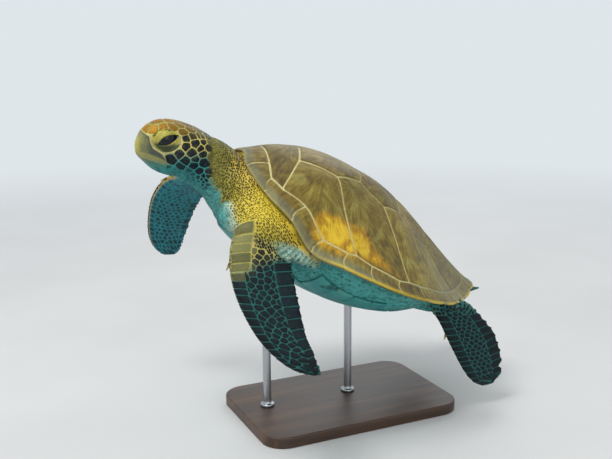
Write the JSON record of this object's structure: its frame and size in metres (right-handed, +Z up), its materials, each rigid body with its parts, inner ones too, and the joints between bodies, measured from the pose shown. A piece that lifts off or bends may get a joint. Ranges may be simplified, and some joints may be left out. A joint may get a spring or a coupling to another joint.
{
  "type": "green sea turtle display model",
  "caption": "Life-size still model of a young green sea turtle swimming with its head up, held by two rods on a flat base.",
  "frame": {"origin": "middle of the stand base's underside", "axes": "+Z up, -Y the way the turtle faces, +X to the turtle's left"},
  "size_m": [0.5989, 0.7488, 0.5956],
  "materials": {
    "skin": "scaly skin, olive yellow above and pale below, dark scales on the head and flippers",
    "horn": "satin horn",
    "eye": "glossy",
    "shell": "satin horn plates, olive brown with golden rays",
    "plastron": "satin, pale cream",
    "stand_base": "satin black paint",
    "stand_rod": "brushed"
  },
  "bodies": {
    "root": {"head": "skin", "neck": "skin", "trunk": "skin", "tail": "skin", "fore_flipper_left": "skin", "fore_flipper_right": "skin", "hind_flipper_left": "skin", "hind_flipper_right": "skin", "beak_upper": "horn", "beak_lower": "horn", "fore_claw_left": "horn", "fore_claw_right": "horn", "hind_claw_left": "horn", "hind_claw_right": "horn", "eye_left": "eye", "eye_right": "eye", "nuchal": "shell", "vertebral_1": "shell", "vertebral_2": "shell", "vertebral_3": "shell", "vertebral_4": "shell", "vertebral_5": "shell", "costal_left_1": "shell", "costal_left_2": "shell", "costal_left_3": "shell", "costal_left_4": "shell", "marginal_left_1": "shell", "marginal_left_2": "shell", "marginal_left_3": "shell", "marginal_left_4": "shell", "marginal_left_5": "shell", "marginal_left_6": "shell", "marginal_left_7": "shell", "marginal_left_8": "shell", "marginal_left_9": "shell", "marginal_left_10": "shell", "marginal_left_11": "shell", "supracaudal_left": "shell", "costal_right_1": "shell", "costal_right_2": "shell", "costal_right_3": "shell", "costal_right_4": "shell", "marginal_right_1": "shell", "marginal_right_2": "shell", "marginal_right_3": "shell", "marginal_right_4": "shell", "marginal_right_5": "shell", "marginal_right_6": "shell", "marginal_right_7": "shell", "marginal_right_8": "shell", "marginal_right_9": "shell", "marginal_right_10": "shell", "marginal_right_11": "shell", "supracaudal_right": "shell", "plastron": "plastron", "stand_base": "stand_base", "stand_rod_front": "stand_rod", "stand_rod_rear": "stand_rod"}
  },
  "joints": []
}
